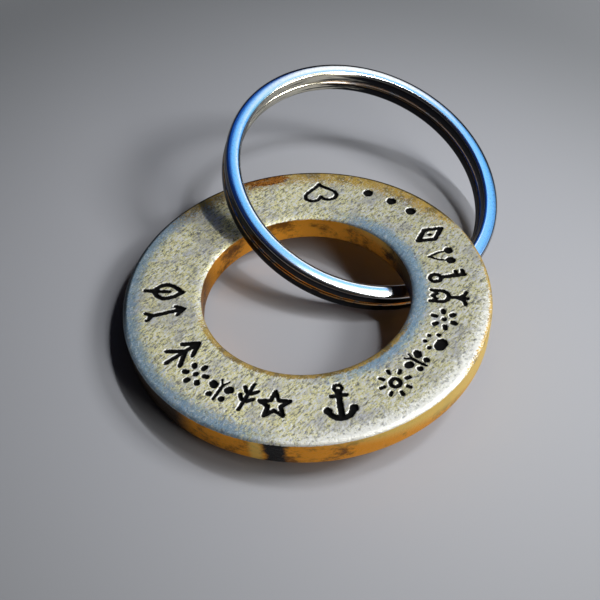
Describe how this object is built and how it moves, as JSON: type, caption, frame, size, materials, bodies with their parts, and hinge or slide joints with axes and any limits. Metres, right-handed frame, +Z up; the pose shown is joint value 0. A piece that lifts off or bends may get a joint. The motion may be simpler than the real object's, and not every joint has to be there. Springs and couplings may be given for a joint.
{
  "type": "keyring",
  "caption": "Flat brass washer with softened edges, linked through its bore by a polished steel split ring wound from flattened wire, lying at rest on a table.",
  "frame": {"origin": "on the table, below the middle of the keyring's bounding box", "axes": "+Z up from the table; +Y along the longest extent, from the washer towards the ring; +X to the right, seen from the washer's side"},
  "size_m": [0.0392, 0.0514, 0.0119],
  "materials": {
    "brass": "satin, tumbled",
    "steel": "polished nickel plate"
  },
  "bodies": {
    "washer": {"stamped_washer": "brass"},
    "ring": {"split_ring": "steel"}
  },
  "joints": [
    {"name": "ring_swing", "type": "hinge", "parent": "washer", "child": "ring", "pos_m": [0.01355, 0.00342, 0.00325], "axis": [0.5701, 0.8176, 0.0803], "range_deg": [0, 90]}
  ]
}
